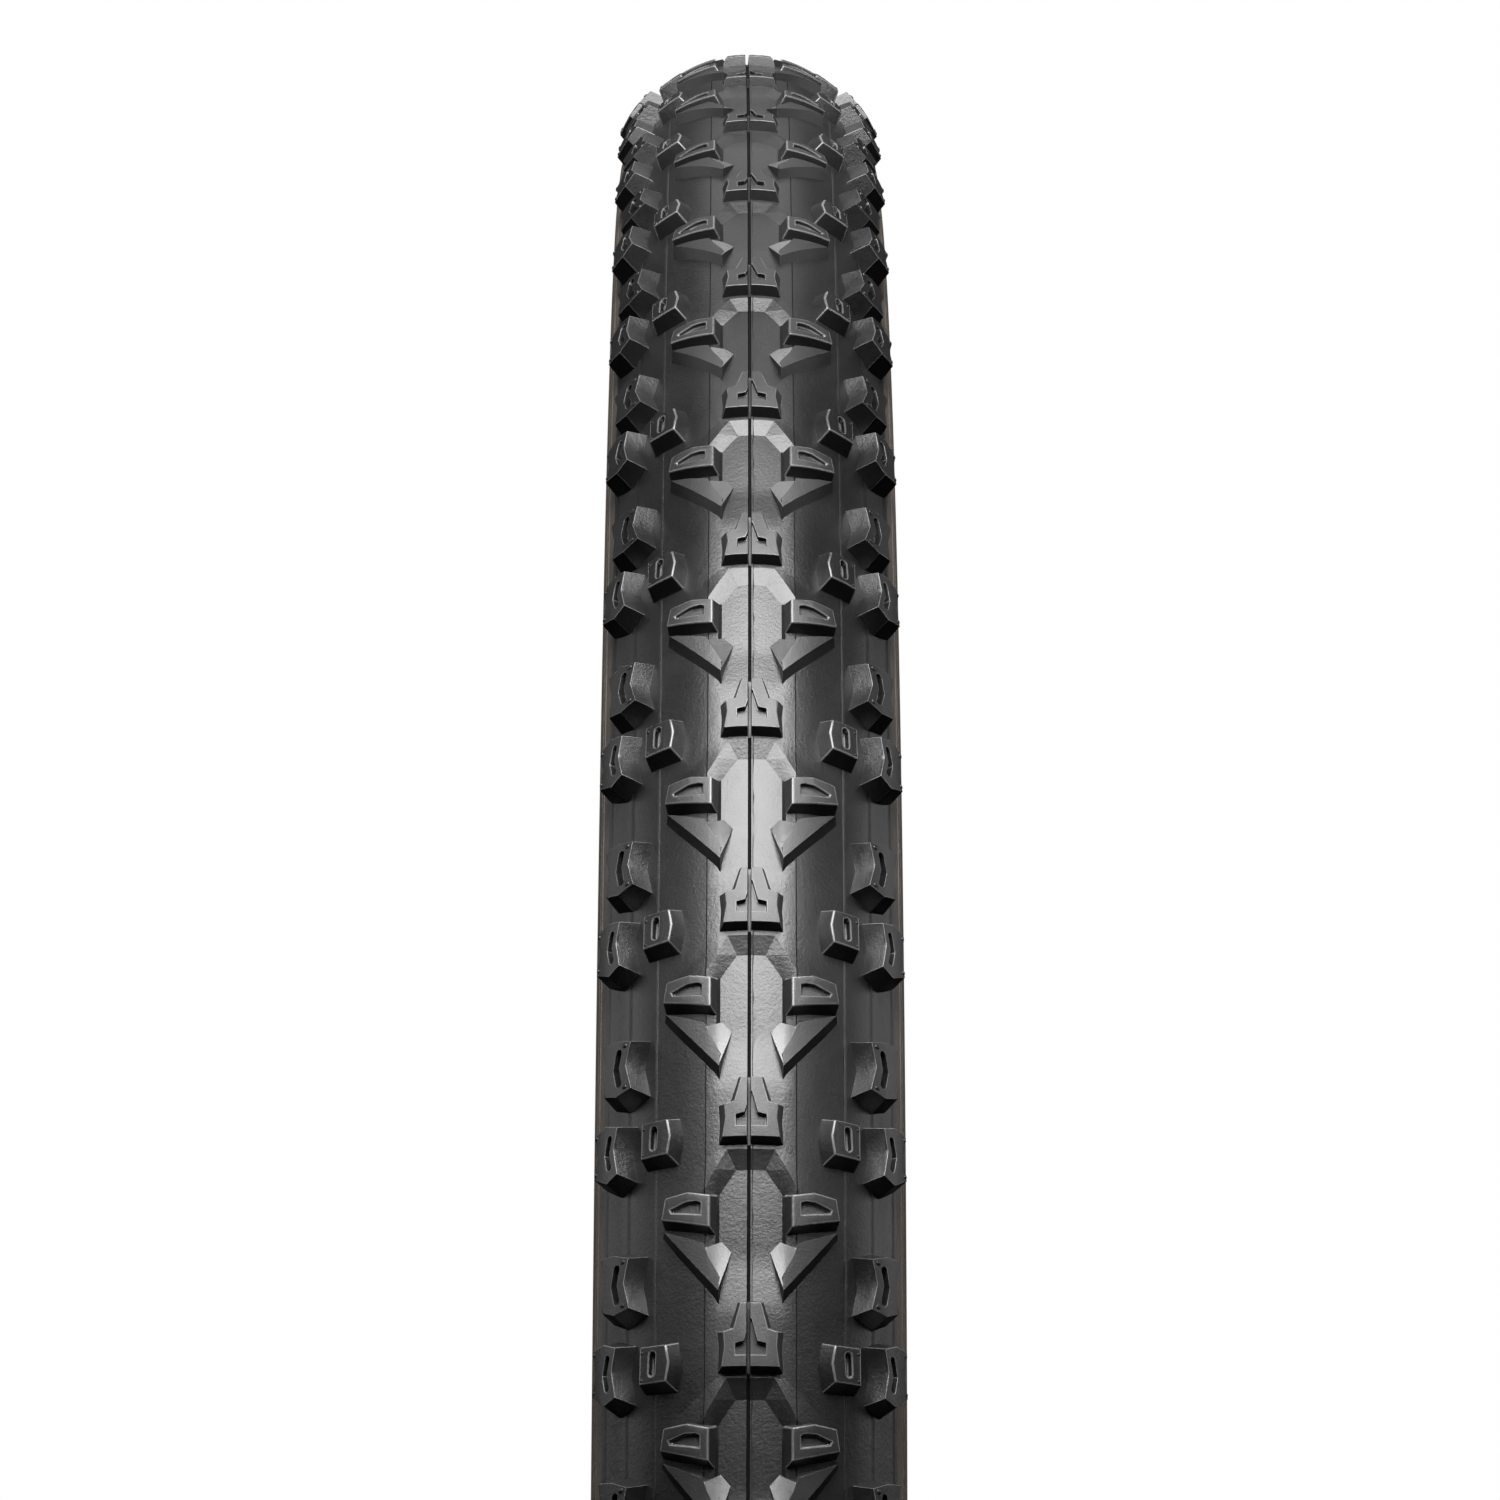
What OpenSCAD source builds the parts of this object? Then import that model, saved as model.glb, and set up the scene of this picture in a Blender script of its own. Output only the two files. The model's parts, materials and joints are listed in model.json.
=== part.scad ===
// Bicycle tire, 56-622, off-road touring tread.
// The wheel's axle runs along Y, the origin is the wheel's centre, and +Z is up.
// Every layer is a ring turned round the axle, and every knob is its own solid on the tread.

/* [Fit to the rim] */
// Diameter of the rim's bead seat
bead_seat_d = 622; // [400:1:630]
// Width between the outer faces of the two beads, as the rim holds them
rim_inner_w = 25; // [21:0.5:30]

/* [Overall size] */
// Width of the inflated tire, without its knobs
tire_w = 55.6; // [44:0.1:68]
// How many times the tread pattern repeats round the tire
repeats = 56; // [44:1:70]
// Turn of the pattern about the axle, degrees
pattern_turn = 3.1; // [0:0.1:6.4]

/* [Rubber and casing] */
// Thickness of the airtight inner liner
liner_t = 0.4; // [0.3:0.05:0.8]
// Thickness of one casing ply
ply_t = 0.5; // [0.4:0.05:0.8]
// Thickness of the puncture belt, and of the sidewall guards
belt_t = 0.5; // [0.3:0.05:1]
// Thickness of the tread rubber under the knobs
tread_t = 1.2; // [0.8:0.05:2]
// Section angle at which the centre compound ends
center_edge = 33; // [26:1:40]
// Section angle at which the tread ends and the sidewall starts
tread_edge = 70; // [69:1:76]
// Section angles between which a sidewall guard lies
guard_from = 78; // [77:1:95]
// End of the sidewall guard
guard_to = 125; // [100:1:135]
// Section angle at which the puncture belt ends
belt_edge = 52; // [40:1:60]

/* [Beads] */
// Diameter of the bead core
core_d = 3; // [2:0.1:3.2]
// Width of the bead on its seat
bead_w = 5.6; // [5:0.1:7]
// Height of the bead from its seat to where the sidewall starts
bead_h = 4.4; // [4:0.1:6]
// Thickness of the chafer round the bead
chafer_t = 0.6; // [0.4:0.05:0.8]
// Bevel on the bead's two lower corners
bead_bevel = 1; // [0.5:0.1:1.4]

/* [Knobs] */
// Height of the centre knobs
center_h = 2; // [1:0.1:4]
// Height of the arrow heads
head_h = 1.9; // [1:0.1:4]
// Height of the arrow tails
tail_h = 1.4; // [0.8:0.1:3]
// Height of the transition knobs
transition_h = 1.9; // [1:0.1:5]
// Height of the inner and outer shoulder knobs
shoulder_h = 2.8; // [1:0.1:6]
// Height of the ramps behind the centre knobs
ramp_h = 0.9; // [0.4:0.1:2]

/* [Hidden] */

ring_fn = 240;          // facets of a ring where it is shown as a mesh
section_fn = 120;       // facets of the round section
core_fn = 48;
step = 360 / repeats;   // angle of one repeat of the pattern

seat_r = bead_seat_d / 2;
bead_out = rim_inner_w / 2;                 // outer face of a bead
bead_in = bead_out - bead_w;                // inner face of a bead
wall_r = tire_w / 2;                        // outside of the round section
section_r = seat_r + bead_h + sqrt(wall_r * wall_r - bead_out * bead_out);  // circle of section centres
wall_end = 180 - asin(bead_out / wall_r);   // section angle at which the wall meets the bead

belt_r = wall_r - tread_t;                  // outside of the belt
outer_ply_r = belt_r - belt_t;              // outside of the outer ply
inner_ply_r = outer_ply_r - ply_t;
liner_r = inner_ply_r - ply_t;              // outside of the liner
air_r = liner_r - liner_t;                  // the tube's space

core_r = core_d / 2;
core_gap = 0.2;                             // filler under the wrapped core
core_at = [seat_r + chafer_t + core_gap + ply_t + core_r, bead_out - bead_w / 2];
toe_h = (bead_h + wall_r - air_r) / 2;      // height of the bead's inner face
thin = 0.15;                                // height of a ramp where it runs out

// Knob outlines, for the right half of the tread. A point is [section angle in degrees, place along
// one repeat in percent, and height if it isn't the knob's own]. Zero along is the foot of a centre
// knob's trailing wall. Each knob has its top outline and its foot outline, point for point.
center_top = [[9.7, -2.2], [-9.7, -2.2], [-9.1, -16.9], [-5.8, -18.1],
              [-3.5, -29.6], [3.5, -29.6], [5.8, -18.1], [9.1, -16.9]];
center_foot = [[12.2, 0], [-12.2, 0], [-12.4, -18.1], [-7.4, -19.3],
               [-4.5, -31.1], [4.5, -31.1], [7.4, -19.3], [12.4, -18.1]];

wedge_top = [[8.7, 1.9, ramp_h], [-8.7, 1.9, ramp_h], [-5.4, 10.8, thin], [5.4, 10.8, thin]];
wedge_foot = [[8.7, 1.4, 0], [-8.7, 1.4, 0], [-5.4, 11.4, 0], [5.4, 11.4, 0]];

wing_top = [[9, 1.9, ramp_h], [5.7, 10.8, thin], [11.5, 20.6, thin], [17.3, 18.7, ramp_h],
            [21.8, 18, ramp_h * 0.8], [29, 18.5, thin], [12.2, 1.9, thin]];
wing_foot = [[9, 1.4, 0], [5.7, 11.4, 0], [11.5, 21.4, 0], [17.3, 19.6, 0],
             [21.8, 18.8, 0], [29.7, 19, 0], [12.8, 1.4, 0]];

head_top = [[14, -76.6], [21.8, -78.8], [30.5, -77.6], [31.9, -68.2], [14, -62.6]];
head_foot = [[11.7, -77.8], [21.8, -80.7], [32.2, -79.5], [34.2, -65.8], [11.7, -59]];

tail_top = [[16.5, -57.5], [31.5, -62.6], [11.1, -35.2], [8, -51.8, thin]];
tail_foot = [[15, -59.2], [34, -64.8], [11, -31], [6.5, -53]];

transition_top = [[28.4, -6], [29.7, -13.3], [40.6, -13.7], [40.6, 2.4], [29.7, 2.4]];
transition_foot = [[25.8, -4.8], [27.4, -15.4], [42.5, -15.9], [42.5, 5.3], [27.8, 5.8]];

inner_top = [[46.8, -43.4], [44.5, -54], [60.2, -58], [57.5, -44.3], [58.9, -33.5], [44.1, -31.8]];
inner_foot = [[44.1, -43.1], [41.6, -55.9], [62.9, -60.7], [60.6, -44.6], [62.2, -29.6], [41.4, -29.4]];

outer_top = [[52.1, -5.5], [50.3, -15.7], [64.5, -17.6], [62.4, -5.5], [65.1, 2.9], [50.1, 6.3]];
outer_foot = [[50.1, -5.1], [47.6, -17.6], [67.8, -20.2], [65.7, -5.8], [68.4, 7.2], [47.4, 8.7]];

// ---- shapes shared by the rings ----

// A point on the section at an angle from the crown, as [radius from the axle, distance along it]
function on_section(r, angle) = [section_r + r * cos(angle), r * sin(angle)];

// The part of the plane between two section angles
module wedge(from, to) {
    parts = ceil((to - from) / 40);
    reach = wall_r * 1.5;
    polygon(concat([on_section(0, 0)],
                   [for (i = [0 : parts]) on_section(reach, from + (to - from) * i / parts)]));
}

// A layer of the wall, between two radii and two section angles
module layer(outer, inner, from, to) {
    difference() {
        intersection() {
            translate([section_r, 0]) circle(r = outer, $fn = section_fn);
            wedge(from, to);
        }
        translate([section_r, 0]) circle(r = inner, $fn = section_fn);
    }
}

// Turns a profile, drawn as radius and distance along the axle, into a ring
module ring() {
    rotate([-90, 0, 0]) rotate_extrude($fn = ring_fn) children();
}

module on_left() {
    mirror([0, 1, 0]) children();
}

// Outline of the right bead, from its seat up to the end of the wall
module bead_outline() {
    polygon([[seat_r, bead_in + bead_bevel], [seat_r, bead_out - bead_bevel],
             [seat_r + bead_bevel, bead_out], on_section(wall_r, wall_end),
             on_section(air_r, wall_end), [seat_r + toe_h, bead_in],
             [seat_r + bead_bevel, bead_in]]);
}

// Space inside the chafer, open towards the wall
module chafer_pocket() {
    translate([seat_r + chafer_t, bead_in + chafer_t])
        square([bead_h * 3, bead_w - 2 * chafer_t]);
}

module core_circle(r) {
    translate(core_at) circle(r = r, $fn = core_fn);
}

// ---- shapes shared by the knobs ----

// A point on the tread: p is a point of an outline, and h is its height where p has none
function on_tread(p, h) =
    let (r = wall_r + (len(p) > 2 ? p[2] : h), along = -p[1] / 100 * step,
         from_axle = section_r + r * cos(p[0]))
    [from_axle * cos(along), r * sin(p[0]), from_axle * sin(along)];

function middle(outline) = [for (k = [0, 1]) [for (p = outline) p[k]] * [for (p = outline) 1 / len(outline)]];

// One knob, between its top outline and its foot on the tread. The top is a fan from its first
// point, and the foot has a point in its middle that keeps it on the round tread.
module knob(top, foot, h) {
    n = len(top);
    points = concat([for (p = top) on_tread(p, h)], [for (p = foot) on_tread(p, 0)],
                    [on_tread(middle(foot), 0)]);
    top_faces = [for (i = [1 : n - 2]) [0, i, i + 1]];
    sides = [for (i = [0 : n - 1]) let (j = (i + 1) % n) each [[j, i, n + i], [j, n + i, n + j]]];
    foot_faces = [for (i = [0 : n - 1]) [n + (i + 1) % n, n + i, 2 * n]];
    polyhedron(points, concat(top_faces, sides, foot_faces));
}

// A knob at each repeat of the pattern
module round_tire() {
    for (i = [0 : repeats - 1]) rotate([0, -pattern_turn - i * step, 0]) children();
}

// ---- beads ----

module bead_core_right() {
    color("silver") ring() core_circle(core_r);
}

module bead_core_left() {
    on_left() bead_core_right();
}

module bead_wrap_right() {
    color("peru") ring() difference() {
        core_circle(core_r + ply_t);
        core_circle(core_r);
    }
}

module bead_wrap_left() {
    on_left() bead_wrap_right();
}

module bead_filler_right() {
    color("dimgray") ring() difference() {
        intersection() {
            bead_outline();
            chafer_pocket();
        }
        core_circle(core_r + ply_t);
    }
}

module bead_filler_left() {
    on_left() bead_filler_right();
}

module chafer_right() {
    color([0.13, 0.12, 0.12]) ring() difference() {
        bead_outline();
        chafer_pocket();
    }
}

module chafer_left() {
    on_left() chafer_right();
}

// ---- casing ----

module inner_liner() {
    color([0.2, 0.2, 0.22]) ring() layer(liner_r, air_r, -wall_end, wall_end);
}

module casing_ply_inner() {
    color("tan") ring() layer(inner_ply_r, liner_r, -wall_end, wall_end);
}

module casing_ply_outer() {
    color("burlywood") ring() layer(outer_ply_r, inner_ply_r, -wall_end, wall_end);
}

module puncture_belt() {
    color("goldenrod") ring() layer(belt_r, outer_ply_r, -belt_edge, belt_edge);
}

module sidewall_guard_right() {
    color("slategray") ring() layer(belt_r, outer_ply_r, guard_from, guard_to);
}

module sidewall_guard_left() {
    on_left() sidewall_guard_right();
}

// ---- outer rubber ----

module sidewall_rubber_right() {
    color([0.16, 0.14, 0.13]) ring() difference() {
        layer(wall_r, outer_ply_r, tread_edge, wall_end);
        layer(belt_r, outer_ply_r, guard_from, guard_to);
    }
}

module sidewall_rubber_left() {
    on_left() sidewall_rubber_right();
}

module tread_center_strip() {
    color([0.18, 0.18, 0.18]) ring() layer(wall_r, belt_r, -center_edge, center_edge);
}

module tread_shoulder_right() {
    color([0.15, 0.15, 0.15]) ring() difference() {
        layer(wall_r, outer_ply_r, center_edge, tread_edge);
        layer(belt_r, outer_ply_r, center_edge, belt_edge);
    }
}

module tread_shoulder_left() {
    on_left() tread_shoulder_right();
}

// ---- knobs ----

module center_knobs() {
    color([0.2, 0.2, 0.2]) round_tire() knob(center_top, center_foot, center_h);
}

module channel_ramps() {
    color([0.22, 0.22, 0.22]) round_tire() {
        knob(wedge_top, wedge_foot, ramp_h);
        knob(wing_top, wing_foot, ramp_h);
        on_left() knob(wing_top, wing_foot, ramp_h);
    }
}

module arrow_head_knobs_right() {
    color([0.24, 0.24, 0.24]) round_tire() knob(head_top, head_foot, head_h);
}

module arrow_head_knobs_left() {
    on_left() arrow_head_knobs_right();
}

module arrow_tail_knobs_right() {
    color([0.28, 0.28, 0.28]) round_tire() knob(tail_top, tail_foot, tail_h);
}

module arrow_tail_knobs_left() {
    on_left() arrow_tail_knobs_right();
}

module transition_knobs_right() {
    color([0.22, 0.22, 0.22]) round_tire() knob(transition_top, transition_foot, transition_h);
}

module transition_knobs_left() {
    on_left() transition_knobs_right();
}

module inner_shoulder_knobs_right() {
    color([0.2, 0.2, 0.2]) round_tire() knob(inner_top, inner_foot, shoulder_h);
}

module inner_shoulder_knobs_left() {
    on_left() inner_shoulder_knobs_right();
}

module outer_shoulder_knobs_right() {
    color([0.18, 0.18, 0.18]) round_tire() knob(outer_top, outer_foot, shoulder_h);
}

module outer_shoulder_knobs_left() {
    on_left() outer_shoulder_knobs_right();
}

bead_core_left();
bead_core_right();
bead_wrap_left();
bead_wrap_right();
bead_filler_left();
bead_filler_right();
chafer_left();
chafer_right();
inner_liner();
casing_ply_inner();
casing_ply_outer();
puncture_belt();
sidewall_guard_left();
sidewall_guard_right();
sidewall_rubber_left();
sidewall_rubber_right();
tread_center_strip();
tread_shoulder_left();
tread_shoulder_right();
center_knobs();
channel_ramps();
arrow_head_knobs_left();
arrow_head_knobs_right();
arrow_tail_knobs_left();
arrow_tail_knobs_right();
transition_knobs_left();
transition_knobs_right();
inner_shoulder_knobs_left();
inner_shoulder_knobs_right();
outer_shoulder_knobs_left();
outer_shoulder_knobs_right();
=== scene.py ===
import json
import math
import random

import bpy
import numpy as np
from mathutils import Matrix, Vector


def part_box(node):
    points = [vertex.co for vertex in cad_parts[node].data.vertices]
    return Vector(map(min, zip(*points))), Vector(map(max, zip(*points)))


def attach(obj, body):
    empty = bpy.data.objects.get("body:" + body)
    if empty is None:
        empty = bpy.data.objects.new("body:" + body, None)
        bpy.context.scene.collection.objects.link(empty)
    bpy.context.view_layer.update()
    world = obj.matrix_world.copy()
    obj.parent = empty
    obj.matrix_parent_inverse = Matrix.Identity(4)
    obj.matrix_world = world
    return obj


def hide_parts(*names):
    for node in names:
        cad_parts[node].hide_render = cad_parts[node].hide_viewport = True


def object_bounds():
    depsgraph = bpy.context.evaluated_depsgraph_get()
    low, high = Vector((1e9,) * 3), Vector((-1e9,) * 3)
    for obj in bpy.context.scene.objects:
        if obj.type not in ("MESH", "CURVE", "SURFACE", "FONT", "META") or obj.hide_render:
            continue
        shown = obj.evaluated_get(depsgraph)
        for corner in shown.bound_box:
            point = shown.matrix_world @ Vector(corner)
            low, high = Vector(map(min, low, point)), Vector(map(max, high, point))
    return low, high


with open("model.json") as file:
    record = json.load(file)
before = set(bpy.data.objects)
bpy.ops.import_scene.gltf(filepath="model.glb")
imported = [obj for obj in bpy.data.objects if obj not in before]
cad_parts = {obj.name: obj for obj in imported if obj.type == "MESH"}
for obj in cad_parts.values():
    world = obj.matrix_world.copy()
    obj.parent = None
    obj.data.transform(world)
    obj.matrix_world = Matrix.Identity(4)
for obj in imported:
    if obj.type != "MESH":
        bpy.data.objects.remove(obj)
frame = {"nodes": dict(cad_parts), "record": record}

cadLow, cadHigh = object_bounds()
mm = 0.001
near = 0.01                             # a point this near a line, in millimetres, is on it
random.seed(7)

# Everything is drawn flat first: x across the tread, y along it, z up from the round casing.
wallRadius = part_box("sidewall_rubber_right")[1].y           # half the casing's width
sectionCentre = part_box("tread_center_strip")[1].x - wallRadius
seatRadius = frame["record"]["mounts"][0]["dims"]["r_mm"] * mm

tire = {
    "repeats": 56,
    "turn": math.radians(3.1),         # where the first repeat starts, up from the front
    "treadRadius": 370 * mm,           # radius at which the pattern's length is measured
    "treadThick": 1.2 * mm,
    "wallThick": 1.7 * mm,             # tread and belt together
    "casingThick": 3.1 * mm,           # down to the tube's space
    "centreEdge": math.radians(33),    # section angles where one strip ends and the next starts
    "treadEdge": math.radians(70),
    "wallEnd": math.radians(153.3),
    # the rubber is thinner beside the centre, in millimetres across and high
    "fallFrom": 5.5, "fallWide": 11.5, "backFrom": 29, "backWide": 8, "shoulderDrop": 1.0,
    "mergeWithin": 0.004 * mm,         # points nearer than this are one point
    "cutWithin": 0.001 * mm,
}
pitch = 2 * math.pi * tire["treadRadius"] / tire["repeats"]


# ---------- selecting and editing ----------

def deselectAll():
    bpy.ops.object.select_all(action='DESELECT')


def makeActive(piece):
    deselectAll()
    piece.select_set(True)
    bpy.context.view_layer.objects.active = piece


def startEdit(piece):
    makeActive(piece)
    bpy.ops.object.mode_set(mode='EDIT')
    bpy.ops.mesh.select_mode(type='VERT')
    bpy.ops.mesh.select_all(action='SELECT')


def endEdit():
    bpy.ops.object.mode_set(mode='OBJECT')


def editOnly(piece, kind, parts, wanted):
    # starts editing with only the wanted faces or edges selected
    startEdit(piece)
    bpy.ops.mesh.select_all(action='DESELECT')
    endEdit()
    for part in parts:
        part.select = wanted(part)
    makeActive(piece)
    bpy.ops.object.mode_set(mode='EDIT')
    bpy.ops.mesh.select_mode(type=kind)


def mergeClose(piece):
    startEdit(piece)
    bpy.ops.mesh.remove_doubles(threshold=tire["mergeWithin"])
    endEdit()


def cut(at, facing):
    # cuts the selected faces along a plane through a point
    bpy.ops.mesh.bisect(plane_co=at, plane_no=facing, threshold=tire["cutWithin"])


def between(value, low, high):
    # 0 at low and below, 1 at high and above
    return min(max((value - low) / (high - low), 0), 1)


def applyModifier(piece, kind, **settings):
    makeActive(piece)
    modifier = piece.modifiers.new(kind.title(), kind)
    for key, value in settings.items():
        setattr(modifier, key, value)
    bpy.ops.object.modifier_apply(modifier=modifier.name)


def outwardNormals(piece):
    startEdit(piece)
    bpy.ops.mesh.normals_make_consistent(inside=False)
    endEdit()


def smooth(piece, angle, weigh=False):
    makeActive(piece)
    bpy.ops.object.shade_smooth_by_angle(angle=math.radians(angle), keep_sharp_edges=True)
    if weigh:
        # large faces stay flat and only the narrow bevels turn the light
        applyModifier(piece, 'WEIGHTED_NORMAL', keep_sharp=True, weight=90)


def outline(name, points, filled=True):
    # a face, or a closed line: a circle whose points are moved to their places
    deselectAll()
    bpy.ops.mesh.primitive_circle_add(vertices=len(points), radius=5 * mm,
                                      fill_type='NGON' if filled else 'NOTHING')
    piece = bpy.context.object
    piece.name = name
    for vertex, point in zip(piece.data.vertices, points):
        vertex.co = point
    return piece


# ---------- the way round the tire ----------

def wrap(piece):
    # lays a flat mesh on the casing
    mesh = piece.data
    flat = np.empty(len(mesh.vertices) * 3)
    mesh.vertices.foreach_get("co", flat)
    across, along, high = flat.reshape(-1, 3).T
    section = across / wallRadius
    radius = wallRadius + high
    fromAxle = sectionCentre + radius * np.cos(section)
    angle = tire["turn"] + along / tire["treadRadius"]
    bent = np.stack([fromAxle * np.cos(angle), radius * np.sin(section),
                     fromAxle * np.sin(angle)], axis=1)
    mesh.vertices.foreach_set("co", bent.ravel())
    mesh.update()


def repeatRound(piece):
    applyModifier(piece, 'ARRAY', count=tire["repeats"], use_relative_offset=False,
                  use_constant_offset=True, constant_offset_displace=(0, pitch, 0))
    wrap(piece)


def shoulderFall(across):
    # how far the tread's surface lies under the round casing, in millimetres
    side = abs(across)
    down = between(side, tire["fallFrom"], tire["fallFrom"] + tire["fallWide"])
    up = between(side, tire["backFrom"], tire["backFrom"] + tire["backWide"])
    ease = down * down * (3 - 2 * down) * (1 - up * up * (3 - 2 * up))
    return -tire["shoulderDrop"] * ease


def place(across, along, high):
    # a point of the pattern in millimetres; along runs down the front of the tire
    return Vector((across * mm, -along * mm, high * mm))


def raised(name, base, lift):
    # a face pulled straight up into a solid
    piece = outline(name, base)
    startEdit(piece)
    bpy.ops.mesh.extrude_region_move(TRANSFORM_OT_translate={"value": (0, 0, lift)})
    endEdit()
    return piece


def block(name, top, foot, sink=0.5):
    # a foot that sinks into the rubber, with the raised points moved to the top outline
    base = [place(a, s, min([shoulderFall(a)] + low) - sink) for a, s, *low in foot]
    lift = 20 * mm
    piece = raised(name, base, lift)
    for vertex in piece.data.vertices:
        if vertex.co.z > lift / 2:
            nearest = min(range(len(base)), key=lambda i: (base[i].xy - vertex.co.xy).length)
            vertex.co = place(*top[nearest])
    outwardNormals(piece)
    # the second finish is for the edges, which bevels and smooth slopes use; it is painted lighter
    # than the knobs, a painted highlight
    piece.data.materials.append(finishes["knob"])
    piece.data.materials.append(finishes["edge"])
    return piece


def combine(piece, other, operation):
    applyModifier(piece, 'BOOLEAN', operation=operation, solver='EXACT', object=other)
    bpy.data.objects.remove(other, do_unlink=True)


def carve(piece, points, low, high=5):
    # takes out a straight-sided hollow from low up, in millimetres
    cutter = raised("cutter", [place(a, s, low) for a, s in points], (high - low) * mm)
    outwardNormals(cutter)
    combine(piece, cutter, 'DIFFERENCE')


def cutAcross(piece, first, last, step=1.5):
    # cuts lines along the tread, so that the block can follow the round casing
    count = int((last - first) / step)
    for i in range(count + 1):
        startEdit(piece)
        cut(((first + i * step) * mm, 0, 0), (1, 0, 0))
        endEdit()
    mergeClose(piece)


def slotOutline(centre, width, steps=4):
    # a round-ended slot along a bent centre line of (across, along) points
    left, right = [], []
    for i, (a, s) in enumerate(centre):
        before, after = centre[max(i - 1, 0)], centre[min(i + 1, len(centre) - 1)]
        run = Vector((after[0] - before[0], after[1] - before[1])).normalized()
        side = Vector((run.y, -run.x)) * width / 2
        left.append((a + side.x, s + side.y))
        right.append((a - side.x, s - side.y))
    startRun = Vector((centre[1][0] - centre[0][0], centre[1][1] - centre[0][1])).normalized()
    endRun = Vector((centre[-1][0] - centre[-2][0], centre[-1][1] - centre[-2][1])).normalized()

    def cap(at, run):
        side = Vector((run.y, -run.x))
        points = []
        for i in range(1, steps):
            turn = math.pi * i / steps
            offset = (side * math.cos(turn) + run * math.sin(turn)) * width / 2
            points.append((at[0] + offset.x, at[1] + offset.y))
        return points

    return left + cap(centre[-1], endRun) + right[::-1] + cap(centre[0], -startRun)


def pip(piece, across, along, high, size):
    # a round vent mark, made as a flattened ball and joined to the block
    deselectAll()
    bpy.ops.mesh.primitive_uv_sphere_add(segments=10, ring_count=6, radius=size * mm,
                                         location=place(across, along, high))
    bpy.ops.transform.resize(value=(1, 1, 0.45))
    bpy.ops.object.transform_apply(location=True, rotation=True, scale=True)
    ball = bpy.context.object
    ball.data.materials.append(finishes["knob"])
    deselectAll()
    ball.select_set(True)
    piece.select_set(True)
    bpy.context.view_layer.objects.active = piece
    bpy.ops.object.join()


def softenEdges(piece, width=0.30):
    applyModifier(piece, 'BEVEL', width=width * mm, segments=2, limit_method='ANGLE',
                  angle_limit=math.radians(28), use_clamp_overlap=True, material=1)


# ---------- materials ----------

def newMaterial(name):
    made = bpy.data.materials.new(name)
    made.use_nodes = True
    nodes, links = made.node_tree.nodes, made.node_tree.links
    nodes.clear()
    output = nodes.new("ShaderNodeOutputMaterial")
    shader = nodes.new("ShaderNodeBsdfPrincipled")
    links.new(shader.outputs["BSDF"], output.inputs["Surface"])
    return made, nodes, links, shader


def noise(nodes, links, source, scale, detail, rough=0.55):
    made = nodes.new("ShaderNodeTexNoise")
    made.inputs["Scale"].default_value = scale
    made.inputs["Detail"].default_value = detail
    made.inputs["Roughness"].default_value = rough
    links.new(source, made.inputs["Vector"])
    return made.outputs["Fac"]


def ramp(nodes, links, source, stops):
    made = nodes.new("ShaderNodeValToRGB")
    elements = made.color_ramp.elements
    while len(elements) < len(stops):
        elements.new(0.5)
    for element, (at, colour) in zip(elements, stops):
        element.position = at
        element.color = (*colour, 1) if len(colour) == 3 else colour
    links.new(source, made.inputs["Fac"])
    return made.outputs["Color"]


def grey(value):
    return (value, value, value)


def mixValue(nodes, links, kind, *values):
    made = nodes.new("ShaderNodeMath")
    made.operation = kind
    for socket, value in zip(made.inputs, values):
        if isinstance(value, (int, float)):
            socket.default_value = value
        else:
            links.new(value, socket)
    return made.outputs[0]


def addBump(nodes, links, shader, height, strength, distance=0.1):
    bump = nodes.new("ShaderNodeBump")
    bump.inputs["Strength"].default_value = strength
    bump.inputs["Distance"].default_value = distance * mm
    links.new(height, bump.inputs["Height"])
    links.new(bump.outputs["Normal"], shader.inputs["Normal"])


def rubber(name, look):
    made, nodes, links, shader = newMaterial(name)
    where = nodes.new("ShaderNodeTexCoord").outputs["Object"]
    patches = noise(nodes, links, where, 38, 5)
    dust = noise(nodes, links, where, 900, 3)
    both = mixValue(nodes, links, 'ADD', mixValue(nodes, links, 'MULTIPLY', patches, 0.8),
                    mixValue(nodes, links, 'MULTIPLY', dust, 0.25))
    # the lighter stop is worn rubber on most finishes, and a painted highlight on the edge rubber
    colour = ramp(nodes, links, both, [(0.35, look["black"]), (0.72, look["wearAndHighlight"])])
    links.new(colour, shader.inputs["Base Color"])
    rough = [(0.3, grey(look["rough"] - 0.05)), (0.8, grey(look["rough"] + 0.07))]
    links.new(ramp(nodes, links, both, rough), shader.inputs["Roughness"])
    # leathery skin: small cells over finer grit
    cells = nodes.new("ShaderNodeTexVoronoi")
    cells.feature = 'SMOOTH_F1'
    cells.inputs["Scale"].default_value = look["cells"]
    cells.inputs["Smoothness"].default_value = 0.6
    links.new(where, cells.inputs["Vector"])
    grit = noise(nodes, links, where, look["cells"] * 2.4, 3, 0.6)
    swell = noise(nodes, links, where, look["cells"] * 0.22, 2)
    skin = mixValue(nodes, links, 'MULTIPLY_ADD', cells.outputs["Distance"], 0.7, grit)
    skin = mixValue(nodes, links, 'MULTIPLY_ADD', swell, 1.3, skin)
    addBump(nodes, links, shader, skin, look["skin"], 0.12)
    shader.inputs["IOR"].default_value = 1.58
    shader.inputs["Specular IOR Level"].default_value = look.get("shine", 0.5)
    # bloom is the brown film that old rubber has
    shader.inputs["Sheen Weight"].default_value = look.get("bloom", 0)
    shader.inputs["Sheen Roughness"].default_value = 0.45
    shader.inputs["Sheen Tint"].default_value = (0.62, 0.44, 0.31, 1)
    return made


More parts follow.
